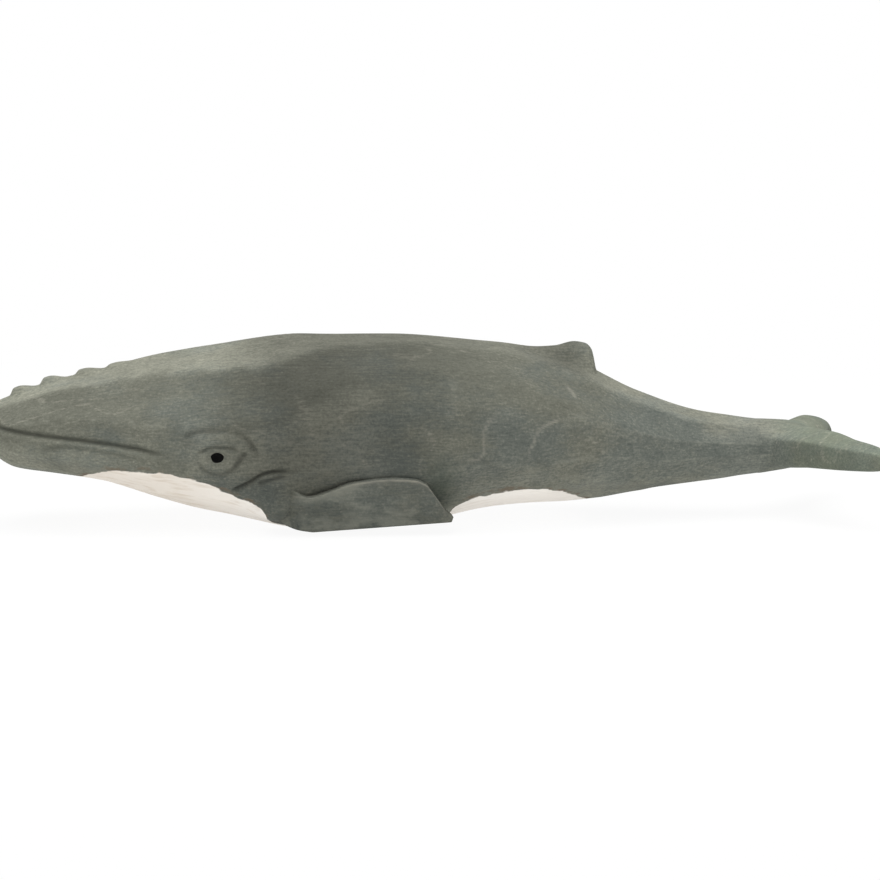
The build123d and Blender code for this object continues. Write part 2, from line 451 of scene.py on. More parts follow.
@dataclass(frozen=True)
class StainedWood:
    """Grey-green stain rubbed into knife-cut wood, with pale paint where a piece is marked for it."""

    name: str
    deep: tuple = srgb(74, 78, 73)
    middle: tuple = srgb(106, 109, 101)
    pale: tuple = srgb(146, 147, 135)
    olive: tuple = srgb(116, 113, 95)
    bluish: tuple = srgb(92, 100, 97)
    green: tuple = srgb(104, 120, 99)
    groove: tuple = srgb(46, 47, 41)
    fleck: tuple = srgb(172, 168, 154)
    bare: tuple = srgb(104, 93, 79)
    paint: tuple = srgb(243, 238, 231)
    paint_thin: tuple = srgb(218, 208, 195)
    painted: bool = False
    specular: float = 0.2
    relief_strength: float = 0.5
    relief_height: float = 0.00025

    def build(self) -> bpy.types.Material:
        """Builds the material.

        The stain lies in clouds, in smaller mottling, in short dashes along the wood and in fine grain,
        and leans to olive or to blue from patch to patch. Fibres run lengthwise. Thin pale lines follow a
        level of slow noise here and there, and the marked growth rings. Stain and painted shade darken the
        grooves, and stain is rubbed off along the edges between the knife's strips. The marked darkness
        holds painted light and shade besides the stain's own tone.

        Returns:
            The material.
        """
        finish = Finish(self.name)
        place = finish.coordinates()
        clouds = finish.noise(place, CLOUD_SCALE, 3.0)
        mottle = finish.drawn_noise(place, MOTTLE_SCALE, 3.0, 0.6)
        dashes = finish.drawn_noise(place, DASH_SCALE, 3.0, 0.65)
        grain = finish.noise(place, GRAIN_SCALE, 2.0, 0.7)
        fibres = finish.drawn_noise(place, FIBRE_SCALE, 2.0, 0.6)
        patches = finish.drawn_noise(place, PATCH_SCALE, 2.0)
        ridge, groove, tone = (finish.mark(name) for name in ("ridge", "groove", "tone"))
        depth = clouds * 0.35 + mottle * 0.4 + dashes * 0.6 + grain * 0.75 + fibres * 0.4
        depth = depth + tone * 0.3 - 0.9
        colour = finish.ramp(depth, [(0.12, self.deep), (0.5, self.middle), (0.88, self.pale)])
        hue = (patches * 0.7 + dashes * 0.3 + finish.mark("warm") * 0.1).eased(0.38, 0.62)
        tint = finish.mixed(hue, self.bluish, self.olive)
        colour = finish.mixed(0.3, colour, tint)
        colour = finish.mixed(finish.mark("green") * (0.05 + mottle * 0.4), colour, self.green)
        level = finish.drawn_noise(place, RING_SCALE, 2.0, 0.45)
        line = (1.0 - (level - 0.5).size().eased(0.0, 0.011)) * patches.eased(0.42, 0.55)
        colour = finish.mixed(line * dashes.eased(0.38, 0.62) * 0.22, colour, self.fleck)
        colour = finish.mixed(finish.mark("ring") * (0.1 + dashes * 0.5), colour, self.fleck)
        flecks = finish.drawn_noise(place, FLECK_SCALE, 1.0).eased(0.73, 0.84)
        colour = finish.mixed(flecks * 0.3, colour, self.fleck)
        rubbed = ridge * mottle.eased(0.4, 0.58) * 0.6
        colour = finish.mixed(rubbed, colour, self.pale)
        # Stain and painted shade darken the marked grooves
        colour = finish.mixed(groove * (0.45 + grain * 0.6), colour, self.groove)
        # The marked darkness is the stain's tone with painted light and shade in it
        colour = finish.mixed(1.0, colour, 1.0 - finish.mark("dark"), "MULTIPLY")
        roughness = 0.74 + dashes * 0.16 - rubbed * 0.1
        relief = dashes * 0.5 + grain * 0.35 + fibres * 0.4
        if self.painted:
            colour, roughness, relief = self._brush_belly(finish, place, colour, roughness, relief)
        sockets = {
            "Base Color": colour,
            "Roughness": roughness,
            "Normal": finish.bump(relief, self.relief_strength, self.relief_height),
            "Specular IOR Level": self.specular,
        }
        return finish.surface(sockets)

    def _brush_belly(
        self, finish: Finish, place: Shade, colour: Shade, roughness: Shade, relief: Shade
    ) -> tuple[Shade, Shade, Shade]:
        """Brushes pale paint over the marked belly, with a ragged edge and lengthwise streaks, and paints
        it lighter behind the head, a painted light on the belly that faces down.

        Args:
            finish: The material under construction.
            place: Object coordinates.
            colour: The stain's colour.
            roughness: The stain's roughness.
            relief: The wood's relief.

        Returns:
            Colour, roughness and relief with the paint on.
        """
        streaks = finish.drawn_noise(place, BRUSH_SCALE, 3.0, 0.6)
        ragged = finish.drawn_noise(place, RAGGED_SCALE, 3.0)
        inside = finish.mark("paint") + (ragged - 0.5) * 1.7 + (streaks - 0.5) * 0.8
        cover = inside.eased(-0.12, 0.16)
        rim = (1.0 - (inside + 0.3).size().eased(0.1, 0.65)) * ragged.eased(0.43, 0.58)
        colour = finish.mixed(rim * 0.75, colour, self.bare)
        # Thin paint, and painted light from the warmth mark: the paint is left lighter behind the head
        thin = streaks.eased(0.46, 0.74) * 0.6 + finish.mark("warm") * 0.55
        brushed = finish.mixed(thin, self.paint, self.paint_thin)
        colour = finish.mixed(cover * 0.97, colour, brushed)
        roughness = roughness - cover * 0.1
        relief = relief * (1.0 - cover * 0.5) + cover * 0.5 + cover * streaks * 0.5
        return colour, roughness, relief


@dataclass(frozen=True)
class PlainPeg:
    """Finish of the turned pegs: bare dowel wood or black lacquer."""

    name: str
    colour: tuple
    streak: tuple
    roughness: float
    specular: float = 0.2
    relief_strength: float = 0.25
    relief_height: float = 0.0001

    def build(self) -> bpy.types.Material:
        """Builds the material: fine streaks along the peg and a slight unevenness of gloss.

        Returns:
            The material.
        """
        finish = Finish(self.name)
        place = finish.coordinates()
        streaks = finish.drawn_noise(place, PEG_STREAK_SCALE, 3.0)
        spots = finish.noise(place, SPOT_SCALE, 2.0)
        colour = finish.mixed(streaks.eased(0.4, 0.65), self.colour, self.streak)
        sockets = {
            "Base Color": colour,
            "Roughness": self.roughness + spots * 0.12,
            "Normal": finish.bump(streaks, self.relief_strength, self.relief_height),
            "Specular IOR Level": self.specular,
        }
        return finish.surface(sockets)


@dataclass(frozen=True)
class WhaleSizes:
    """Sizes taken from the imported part, in millimetres."""

    snout_x: float
    joint_x: float
    half_width: float
    height: float

    @classmethod
    def from_frame(cls) -> "WhaleSizes":
        """Reads the body's box."""
        low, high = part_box("body")
        return cls(low.x / MM, high.x / MM, -low.y / MM, high.z / MM)

    @property
    def length(self) -> float:
        """Snout to the tail joint."""
        return self.joint_x - self.snout_x

    def along(self, share: float) -> float:
        """X of a share of the length behind the snout."""
        return self.snout_x + share * self.length


# Sections from snout to tail joint, as shares: place along the length, heights of the crown, the widest
# line and the belly in the body's height, half width, and how full the crown and belly arcs are
BODY_SECTION_SHARES = [
    (0.00, 0.58, 0.490, 0.43, 0.19, 0.55, 0.55),
    (0.01, 0.655, 0.485, 0.395, 0.38, 0.55, 0.55),
    (0.04, 0.71, 0.470, 0.32, 0.55, 0.54, 0.58),
    (0.09, 0.78, 0.445, 0.29, 0.68, 0.53, 0.60),
    (0.15, 0.835, 0.415, 0.25, 0.80, 0.53, 0.62),
    (0.22, 0.905, 0.405, 0.16, 0.895, 0.54, 0.64),
    (0.29, 0.945, 0.410, 0.09, 0.96, 0.56, 0.66),
    (0.42, 1.010, 0.445, -0.015, 1.00, 0.57, 0.72),
    (0.52, 1.015, 0.455, -0.015, 0.98, 0.57, 0.72),
    (0.64, 0.97, 0.460, 0.085, 0.88, 0.56, 0.66),
    (0.75, 0.86, 0.440, 0.115, 0.71, 0.54, 0.60),
    (0.84, 0.68, 0.400, 0.15, 0.52, 0.52, 0.56),
    (0.92, 0.57, 0.375, 0.19, 0.36, 0.52, 0.56),
    (1.00, 0.525, 0.370, 0.23, 0.26, 0.52, 0.56),
]

EYE_PLACE_SHARE = 0.292
EYE_HEIGHT_SHARE = 0.424

# The fin's ridge: share of the length, share of the height, and half width in millimetres
FIN_SHARES = [
    (0.60, 0.960, 9.0), (0.66, 0.955, 8.0), (0.70, 0.940, 5.5), (0.73, 0.945, 4.0), (0.755, 0.967, 3.0),
    (0.77, 0.957, 3.0), (0.778, 0.925, 3.0), (0.786, 0.775, 3.0), (0.792, 0.700, 3.0),
]
FIN_REAR_SHARE = 0.784
FIN_END_SHARE = 0.80

# How light the stain is painted along the length, its own tone with painted light and shade: share
# of the length, on the flanks, and on the crown, where it holds painted light
STAIN_SHARES = [
    (0.00, 1.05, 1.25), (0.05, 0.96, 1.30), (0.13, 0.88, 1.26), (0.25, 0.92, 1.20), (0.30, 0.72, 1.46),
    (0.38, 0.50, 1.38), (0.48, 0.53, 1.14), (0.56, 0.68, 1.02), (0.65, 0.80, 1.02), (0.74, 0.87, 0.70),
    (0.80, 0.91, 1.15), (1.00, 0.96, 1.16),
]

# The band along the crown that two long strips leave: share of the length, and how far down it reaches,
# where 0 is the crown and 1 the widest line
BAND_SHARES = [
    (0.00, 0.30), (0.20, 0.34), (0.34, 0.41), (0.46, 0.24), (0.60, 0.20), (0.78, 0.32), (0.93, 0.44),
    (1.00, 0.46),
]

# Where the knife's lower strips touch a section: 1 at the widest line, 2 at the belly
LOWER_STRIPS = [0.97, 1.32, 1.66, 2.0]
# Numbers of the strips at the crown: the band's two and the one beside each
CROWN_STRIPS = [0, 1, -2, -1]
# Distance of a strip that faces another way than the point, in millimetres
OUT_OF_REACH = 9.0

# Lines carved in the side view. The mouth is in shares of the length and the height, the lids and the
# fold round the eye in millimetres from the eye, the shoulder's creases in millimetres
MOUTH_SHARES = [(-0.01, 0.58), (0.07, 0.53), (0.14, 0.50), (0.19, 0.47), (0.24, 0.42)]
LIP_SHARES = [(0.06, 0.43), (0.10, 0.47), (0.15, 0.45), (0.21, 0.40)]
UPPER_LID = [(-4.5, 0.0), (-3.0, 1.2), (-0.5, 2.0), (2.5, 1.8), (5.0, 0.6)]
LOWER_LID = [(-4.0, 0.0), (-3.2, -1.6), (-1.5, -2.8), (0.5, -3.1), (2.5, -2.4), (5.0, 0.6)]
EYE_FOLD = [(-6.5, 3.0), (-5.0, 4.5), (-2.0, 5.0), (1.0, 5.0), (4.5, 4.0), (6.5, 2.0), (7.5, -1.0)]
SHOULDER_CREASE = [(-39.0, 8.3), (-35.0, 10.5), (-32.5, 12.0), (-30.0, 12.5), (-24.5, 12.5)]
SECOND_CREASE = [(-33.0, 10.5), (-29.0, 11.5), (-26.5, 12.0)]

# Growth rings that come out as pale lines behind the flipper and before the fin, in millimetres
GROWTH_RINGS = [
    [(5.0, 14.0), (8.0, 14.0), (9.5, 16.0), (9.5, 19.0), (11.0, 21.5), (13.0, 22.0)],
    [(17.5, 14.0), (19.0, 16.5), (20.0, 19.0), (22.5, 20.5), (25.5, 21.5)],
    [(26.0, 27.0), (27.0, 26.0), (28.0, 24.5)],
]

# The painted belly's edge in the side view, in millimetres
PAINT_EDGE = [
    (-73.0, 4.0), (-68.0, 9.5), (-61.0, 12.5), (-57.0, 12.5), (-50.0, 12.0), (-44.0, 10.5), (-37.5, 7.5),
    (-33.0, 5.5), (-30.0, 1.0), (3.0, 1.0), (4.5, 4.5), (10.0, 6.5), (20.0, 7.5), (25.0, 6.5),
    (30.0, 4.5), (34.0, 2.0),
]

# Knobs on the crown of the snout: share of the length at the front, length and rise in millimetres
KNOBS = [(0.036, 5.0, 1.1), (0.074, 5.0, 1.0), (0.118, 5.5, 0.8), (0.157, 5.0, 0.45)]

# The flipper's outline, as shares of its length from the front and its height from the lower edge
FLIPPER_UPPER_SHARES = [
    (0.00, 0.50), (0.06, 0.74), (0.14, 0.80), (0.25, 0.65), (0.36, 0.75), (0.47, 0.89), (0.67, 0.97),
    (0.80, 0.94), (0.86, 0.85),
]
FLIPPER_END_SHARES = [(0.86, 0.85), (0.96, 0.35), (1.0, 0.24), (0.99, 0.15), (0.27, 0.0)]
FLIPPER_LOWER_SHARES = [(0.27, 0.0), (0.18, 0.05), (0.06, 0.26), (0.0, 0.5)]

# Flat cuts on the flipper's face: a place as shares of its length and height, then how much the cut
# rises over the whole length and the whole height, in millimetres
FLIPPER_CUTS = [
    (0.12, 0.45, 2.2, 0.2), (0.38, 0.35, 0.3, 0.9), (0.7, 0.5, -0.7, -0.5), (0.6, 0.12, 0.1, 2.4),
    (0.62, 0.9, -0.3, -1.5), (0.91, 0.45, -11.0, -2.4),
]

# Sections of one lobe of the fluke, as shares: place across the half span, leading and trailing edges
# along the fluke's length, then lower and upper heights in the height of the fluke
LOBE_SHARES = [
    (0.00, -0.10, 0.68, 0.02, 0.95),
    (0.20, 0.06, 0.76, 0.10, 0.98),
    (0.42, 0.28, 0.85, 0.18, 0.98),
    (0.65, 0.54, 0.93, 0.22, 0.89),
    (0.88, 0.79, 1.03, 0.25, 0.79),
    (1.00, 0.96, 1.07, 0.30, 0.65),
]
# The section's loop, as shares of the chord and of the lobe's height from the bottom
LOBE_LOOP_SHARES = [
    (0.10, 0.02), (0.03, 0.10), (0.0, 0.30), (0.0, 0.52), (0.03, 0.70), (0.06, 0.75), (0.25, 0.87),
    (0.50, 1.0), (0.78, 0.88), (0.97, 0.60), (1.0, 0.50), (0.96, 0.38), (0.70, 0.12), (0.40, 0.0),
    (0.10, 0.02),
]


def egg_arc(turn: Array, full: Array) -> tuple[Array, Array]:
    """A quarter of a section: a cubic from the crown (turn 0) to the widest point (turn 1).

    Args:
        turn: How far round the quarter.
        full: Length of the cubic's handles, 0.55 for an ellipse.

    Returns:
        How far out and how far up, each from 0 to 1.
    """
    out = 3 * (1 - turn) ** 2 * turn * full + 3 * (1 - turn) * turn**2 + turn**3
    up = (1 - turn) ** 3 + 3 * (1 - turn) ** 2 * turn + 3 * (1 - turn) * turn**2 * full
    return out, up


def flipper_outline(low: Vector, high: Vector, count: int) -> Array:
    """The flipper's side view as evenly spaced points.

    Args:
        low: Lowest corner of the flipper's box, in metres.
        high: Highest corner.
        count: Number of points.

    Returns:
        Points (x, z) in millimetres, from the front over the upper edge and back along the lower one.
    """
    upper = smooth_line(FLIPPER_UPPER_SHARES, 60)
    lower = smooth_line(FLIPPER_LOWER_SHARES, 30)
    shares = np.array(upper[:-1] + FLIPPER_END_SHARES[:-1] + lower)
    size = np.array([high.x - low.x, high.z - low.z]) / MM
    drawn = np.array([low.x, low.z]) / MM + shares * size
    steps = np.linalg.norm(np.diff(drawn, axis=0), axis=1)
    starts = np.concatenate([[0.0], np.cumsum(steps)])
    places = np.linspace(0.0, starts[-1], count, endpoint=False)
    return np.stack([np.interp(places, starts, axis) for axis in drawn.T], axis=-1)


@dataclass
class CarvedBody:
    """The block of the body: a skin through the sections, shaved in knife cuts, with its carved lines."""

    sizes: WhaleSizes
    rows: int = 436
    half_columns: int = 110
    nose_bulge: float = 1.3
    nose_rows: int = 9
    seed: int = 7

    # The knife's strips: how many stretches each has, then the stretches' blend, the cuts' depths and the
    # softness of their edges, in millimetres
    stretches: int = 5
    stretch_blend: float = 1.3
    cut_depth: float = 0.24
    deepest_cut: float = 0.7
    edge_softness: float = 0.04

    # How far round the ring a strip wanders and over how many millimetres, and the share left at the crown
    long_wander: tuple[float, float] = (0.055, 10.0)
    short_wander: tuple[float, float] = (0.03, 4.1)
    crown_wander: float = 0.3

    # The tone of the crown's band, how far a strip has to face as a point does, and the plain skin's reach
    # round an eye in millimetres
    band_tone: float = 0.95
    least_facing: float = 0.35
    eye_reach: float = 6.5

    # Depths and rises of what is carved, in millimetres, and how dark the knobs are
    knob_shade: float = 0.16
    mouth_depth: float = 0.42
    lip_rise: float = 0.4
    lid_depth: float = 0.45
    fold_depth: float = 0.75
    mound_rise: float = 0.6
    socket_depth: float = 1.0
    crease_depth: float = 0.7
    shoulder_rise: float = 3.0
    seam_depth: float = 0.25
    fin_fall: float = 4.6

    def build(self, material: bpy.types.Material) -> bpy.types.Object:
        """Builds the body's mesh and dresses it.

        Args:
            material: The body's finish.

        Returns:
            The piece.
        """
        ring, points = self._skin()
        points, tone, ridge, crown = self._knife_cuts(points, ring)
        points, groove = self._carve(points)
        points = self._raise_fin(points)
        points[:, :, 2] = np.maximum(points[:, :, 2], 0.0)
        paint = self._paint_depth(points)
        dark, green, warm = self._stain(points, crown)
        marks = {"tone": tone, "ridge": ridge, "groove": groove, "paint": paint, "dark": dark}
        marks |= {"green": green, "warm": warm, "ring": self._growth_rings(points)}
        return self._mesh(points, marks, material)

    def _skin(self) -> tuple[Array, Array]:
        """The plain skin: at each place four arcs join the crown, the widest line and the belly.

        Each arc is a cubic whose handles are as long as the section's fullness. Places are read on the
        square root of the share along the length, so that the snout is blunt. Rings crowd together at the
        snout, the eye, the fin's rear and the flippers.

        Returns:
            The columns' places round the ring, and points as rows by columns by (x, y, z).
        """
        s = self.sizes
        crowded_rings = [
            (-70.0, 14.0, 0.7),
            (s.along(EYE_PLACE_SHARE), 7.0, 2.4),
            (s.along(FIN_REAR_SHARE), 0.9, 7.0),
            (-24.0, 10.0, 0.5),
        ]
        crowded_columns = [(1.0, 0.17, 3.2), (0.0, 0.12, 1.4)]
        x = spread_by_density(s.snout_x + self.nose_bulge, s.joint_x, self.rows, crowded_rings)
        way = spread_by_density(0.0, 2.0, self.half_columns + 1, crowded_columns)[None, :]
        share = (x - s.snout_x) / s.length
        table = np.array(BODY_SECTION_SHARES)
        read = flowing_curve(np.sqrt(table[:, 0]), table[:, 1:], np.sqrt(share))
        crown, widest, belly = (read[:, column, None] * s.height for column in range(3))
        half_width = read[:, 3, None] * s.half_width
        upper = way <= 1.0
        turn = np.where(upper, way, 2.0 - way)
        full = np.where(upper, read[:, 4, None], read[:, 5, None])
        out, up = egg_arc(turn, full)
        z = np.where(upper, widest + up * (crown - widest), widest - up * (widest - belly))
        y = -out * half_width
        left = np.stack([np.broadcast_to(x[:, None], y.shape), y, z], axis=-1)
        right = left[:, -2:0:-1] * np.array([1.0, -1.0, 1.0])
        ring = np.concatenate([way[0], 4.0 - way[0, -2:0:-1]])
        return ring, np.concatenate([left, right], axis=1)

    @staticmethod
    def _normals(points: Array) -> Array:
        """Unit normals of a ring grid, from the differences along it and round it."""
        along = np.gradient(points, axis=0)
        around = np.roll(points, -1, axis=1) - np.roll(points, 1, axis=1)
        normal = np.cross(around, along)
        normal /= np.linalg.norm(normal, axis=-1, keepdims=True) + 1e-9
        return normal

    def _read_along(self, shares: list[tuple], x: Array) -> list[Array]:
        """Reads each column of a table of shares along the length, at the places of a grid."""
        table = np.array(shares)
        share = (x - self.sizes.snout_x) / self.sizes.length
        read = flowing_curve(table[:, 0], table[:, 1:], share.ravel())
        return [column.reshape(x.shape) for column in read.T]

    def _knife_cuts(self, points: Array, ring: Array) -> tuple[Array, Array, Array, Array]:
        """Planes the skin into long flat strips, as a knife drawn along the block leaves them.

        Each strip touches every section at one place, which wanders along the body, and lies deeper or
        shallower from stretch to stretch. A point moves to the strip that cuts deepest there, and near an
        edge it lies between two.

        Args:
            points: The plain skin.
            ring: Place of each column round the ring, 0 at the crown and 2 at the belly.

        Returns:
            The planed points, each point's own tone, how near it lies to an edge between strips, and how
            far it lies on the crown's band.
        """
        random = np.random.default_rng(self.seed)
        normals = self._normals(points)
        x = points[:, :1, 0]
        touch_at = self._strip_places(x)
        strips = touch_at.shape[1]
        touch_at = touch_at + self._wander(random, x, strips)
        depth, tones = self._stretches(random, x, strips)
        reach, facing = self._strip_reach(points, normals, ring, touch_at)
        score = np.where(facing > self.least_facing, reach - depth[:, None], OUT_OF_REACH)
        weight = np.exp((score.min(axis=-1, keepdims=True) - score) / self.edge_softness)
        weight /= weight.sum(axis=-1, keepdims=True)
        moved = self._eased_grid((weight * score).sum(axis=-1), 1)
        moved = np.clip(moved, -self.deepest_cut, self.deepest_cut)
        keep = self._cut_share(points)
        shaved = points + normals * (moved * keep)[:, :, None]
        tone = self._eased_grid((weight * tones[:, None]).sum(axis=-1), 3)
        ridge = np.clip(2.0 * (1.0 - weight.max(axis=-1)), 0.0, 1.0)
        crown = weight[..., 0] + weight[..., -1]
        return shaved, tone, self._eased_grid(ridge, 1) * keep, self._eased_grid(crown, 1)

    def _strip_places(self, x: Array) -> Array:
        """Where each strip touches each section, round the ring: left side, belly, right side.

        The edge of the crown's band lies midway between the two uppermost strips.

        Args:
            x: Places of the rings, as a column.

        Returns:
            Places round the ring, as rings by strips.
        """
        places, reaches = np.array(BAND_SHARES).T
        edge = flowing_curve(places, reaches, (x[:, 0] - self.sizes.snout_x) / self.sizes.length)[:, None]
        lower = np.broadcast_to(LOWER_STRIPS, (len(x), len(LOWER_STRIPS)))
        left = np.concatenate([0.5 * edge, 1.5 * edge, lower], axis=1)
        return np.concatenate([left, 4.0 - left[:, -2::-1]], axis=1)

    def _wander(self, random: np.random.Generator, x: Array, strips: int) -> Array:
        """How far each strip strays round the ring: two waves along the body, weaker at the crown."""
        phase = random.uniform(0.0, 2.0 * math.pi, (2, strips))
        long_size, long_length = self.long_wander
        short_size, short_length = self.short_wander
        wander = long_size * np.sin(x / long_length + phase[0])
        wander = wander + short_size * np.sin(x / short_length + phase[1])
        wander[:, CROWN_STRIPS] *= self.crown_wander
        return wander

    def _stretches(self, random: np.random.Generator, x: Array, strips: int) -> tuple[Array, Array]:
        """Splits each strip into stretches along the body, each with its own depth and tone.

        The crown's strips keep one depth, and its band one pale tone.

        Args:
            random: The cuts' random numbers.
            x: Places of the rings, as a column.
            strips: Number of strips.

        Returns:
            Depth and tone, as rings by strips.
        """
        breaks = np.sort(random.uniform(x.min(), x.max(), (strips, self.stretches - 1)), axis=1)
        passed = smooth_step(-self.stretch_blend, self.stretch_blend, x[:, :, None] - breaks)
        depths = random.uniform(-self.cut_depth, self.cut_depth, (strips, self.stretches))
        tones = random.uniform(0.0, 1.0, (strips, self.stretches))
        depths[CROWN_STRIPS] = 0.5 * self.cut_depth
        tones[[0, -1]] = self.band_tone
        return tuple(v[:, 0] + (passed * np.diff(v, axis=1)).sum(axis=-1) for v in (depths, tones))

    @staticmethod
    def _strip_reach(points: Array, normals: Array, ring: Array, touch_at: Array) -> tuple[Array, Array]:
        """How far each point lies from the plane of each strip on its ring, along the point's normal.

        The plane passes through the skin where the strip touches it, and faces as the skin does there.

        Args:
            points: The plain skin.
            normals: Its normals.
            ring: Place of each column round the ring.
            touch_at: Where each strip touches each ring.

        Returns:
            The distances, and how far each plane faces as the point does, as rings by columns by strips.
        """
        column = np.interp(touch_at % 4.0, np.append(ring, 4.0), np.arange(len(ring) + 1))
        first = column.astype(int) % len(ring)
        second = (first + 1) % len(ring)
        share = (column % 1.0)[..., None]
        row = np.arange(len(points))[:, None]
        touch = points[row, first] * (1 - share) + points[row, second] * share
        faces = normals[row, first] * (1 - share) + normals[row, second] * share
        facing = np.einsum("rcd,rkd->rck", normals, faces)
        reach = np.einsum("rkd,rkd->rk", touch, faces)[:, None] - np.einsum("rcd,rkd->rck", points, faces)
        return reach / np.maximum(facing, 0.3), facing

    def _cut_share(self, points: Array) -> Array:
        """How far the strips show: not round the eyes, at the snout or at the tail joint."""
        s = self.sizes
        x, z = points[:, :, 0], points[:, :, 2]
        apart = np.hypot(x - s.along(EYE_PLACE_SHARE), z - EYE_HEIGHT_SHARE * s.height)
        eye = bell(apart, self.eye_reach)
        snout = smooth_step(s.snout_x + 1.0, s.snout_x + 7.0, x)
        joint = 1.0 - smooth_step(s.joint_x - 9.0, s.joint_x - 1.0, x)
        return (1.0 - eye) * snout * joint

    @staticmethod
    def _eased_grid(values: Array, passes: int) -> Array:
        """Averages each grid value with its neighbours, round the ring and along it, some times over."""
        for _ in range(passes):
            values = (np.roll(values, 1, axis=1) + 2 * values + np.roll(values, -1, axis=1)) / 4
            inner = (values[:-2] + 2 * values[1:-1] + values[2:]) / 4
            values = np.concatenate([values[:1], inner, values[-1:]], axis=0)
        return values

    def _carve(self, points: Array) -> tuple[Array, Array]:
        """Cuts the mouth line, the lids and their fold, the shoulder's creases and the flipper seam.

        Every line is a bell-shaped trench of the distance to a curve drawn in the side view, and the
        rolls beside it are wider bells. The snout's knobs are raised too. Points move along normals.

        Args:
            points: The shaved skin.

        Returns:
            The carved points, and how deep in a groove each lies, from 0 to 1.
        """
        x, z = points[:, :, 0], points[:, :, 2]
        normals = self._normals(points)
        side = smooth_step(0.1, 0.45, np.abs(normals[:, :, 1]))
        knobs = self._knobs(points)
        lift = np.zeros_like(x)
        groove = self.knob_shade * np.clip(knobs, 0.0, 1.0)
        lines = [self._mouth(x, z), self._eye(x, z, side), self._shoulder(x, z, side)]
        lines.append(self._flipper_seam(x, z, side))
        for line_lift, line_groove in lines:
            lift += line_lift
            groove = np.maximum(groove, line_groove)
        return points + normals * (lift + knobs)[:, :, None], groove

    def _mouth(self, x: Array, z: Array) -> tuple[Array, Array]:
        """The mouth line with a fuller lower lip above a faint second line, fading out below the eye."""
        s = self.sizes
        line = smooth_line([(s.along(a), b * s.height) for a, b in MOUTH_SHARES], 60)
        apart, way = line_distance(x, z, line)
        fade = 1.0 - smooth_step(0.82, 1.0, way)
        below = z < np.interp(x, [p[0] for p in line], [p[1] for p in line])
        lip = bell(apart - 1.2, 0.8) * np.where(below, 1.0, 0.2) * self.lip_rise * fade
        under_line = smooth_line([(s.along(a), b * s.height) for a, b in LIP_SHARES], 30)
        under, under_way = line_distance(x, z, under_line)
        under = bell(under, 0.4) * faded(under_way, 0.2, 0.7)
        groove = np.maximum(bell(apart, 0.44) * fade * 0.85, 0.3 * under)
        return lip - 0.3 * under - self.mouth_depth * bell(apart, 0.4) * fade, groove

    def _eye(self, x: Array, z: Array, side: Array) -> tuple[Array, Array]:
        """A low mound with an upper lid line, a soft lower lid and an uneven fold round the top."""
        s = self.sizes
        across, up = x - s.along(EYE_PLACE_SHARE), z - EYE_HEIGHT_SHARE * s.height
        upper, upper_way = line_distance(across, up, smooth_line(UPPER_LID, 30))
        lower, lower_way = line_distance(across, up, smooth_line(LOWER_LID, 30))
        fold, fold_way = line_distance(across, up, smooth_line(EYE_FOLD, 40))
        lower_fade = smooth_step(0.0, 0.2, lower_way) * (0.7 + 0.3 * smooth_step(0.5, 0.9, lower_way))
        fold_fade = faded(fold_way, 0.1, 0.8) * (1.0 - 0.55 * bell(fold_way - 0.55, 0.2))
        upper = bell(upper, 0.3) * faded(upper_way, 0.25, 0.7)
        lower = bell(lower, 0.5) * lower_fade
        fold = bell(fold, 0.55) * fold_fade
        mound = oval_bell(across, up, (0.3, 0.6), (5.6, 4.3))
        socket = oval_bell(across, up, (0.0, 0.1), (1.9, 1.5))
        roll = oval_bell(across, up, (0.9, -2.3), (4.2, 1.1))
        smudge = oval_bell(across, up, (-5.3, 3.2), (1.5, 1.4))
        lift = self.mound_rise * mound - self.socket_depth * socket + 0.4 * roll
        lift = lift - self.lid_depth * (upper + lower) - self.fold_depth * fold
        groove = np.maximum(np.maximum(0.55 * upper, 0.6 * lower), np.maximum(0.45 * fold, 0.4 * smudge))
        return lift * side, groove * side

    def _shoulder(self, x: Array, z: Array, side: Array) -> tuple[Array, Array]:
        """The shoulder that the flipper grows from: a swelling below two creases that run together."""
        apart, way = line_distance(x, z, smooth_line(SHOULDER_CREASE, 40))
        fade = faded(way, 0.12, 0.6) * side
        second, second_way = line_distance(x, z, smooth_line(SECOND_CREASE, 20))
        second = bell(second, 0.4) * (1.0 - smooth_step(0.5, 1.0, second_way)) * side
        trench = bell(apart, 0.34) * fade
        roll = bell(apart - 1.6, 1.1) * fade
        swelling = oval_bell(x, z, (-29.2, 6.2), (4.8, 4.0)) * side * smooth_step(1.0, 5.5, z)
        lift = 0.35 * roll - self.crease_depth * trench - 0.5 * second + self.shoulder_rise * swelling
        return lift, np.maximum(0.85 * trench, 0.8 * second)

    def _flipper_seam(self, x: Array, z: Array, side: Array) -> tuple[Array, Array]:
        """A narrow trench round each flipper, none at the shoulder and faint at the flipper's rear."""
        low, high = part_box("left_flipper")
        front, rear = low.x / MM, high.x / MM
        outline = flipper_outline(low, high, 90)
        apart, _ = line_distance(x, z, [tuple(point) for point in outline] + [tuple(outline[0])])
        shown = smooth_step(front + 4.5, front + 7.5, x) * side
        shown = shown * (1.0 - 0.8 * smooth_step(rear - 11.0, rear - 5.0, x))
        return -self.seam_depth * bell(apart, 0.4) * shown, 0.4 * bell(apart, 0.3) * shown

    def _knobs(self, points: Array) -> Array:
        """Knobs along the crown of the snout: low round steps, steep in front, that run out rearwards."""
        x, y, z = (points[:, :, axis] for axis in range(3))
        lift = np.zeros_like(x)
        for share, length, rise in KNOBS:
            behind = x - self.sizes.along(share)
            aside = np.hypot(y, 0.45 * (behind - 0.4 * length))
            step = smooth_step(-0.6, 0.8, behind) * (1.0 - smooth_step(0.3 * length, length, behind))
            lift += rise * step * (1.0 - smooth_step(0.9, 2.6, aside))
        return lift * (z > 0.5 * self.sizes.height)

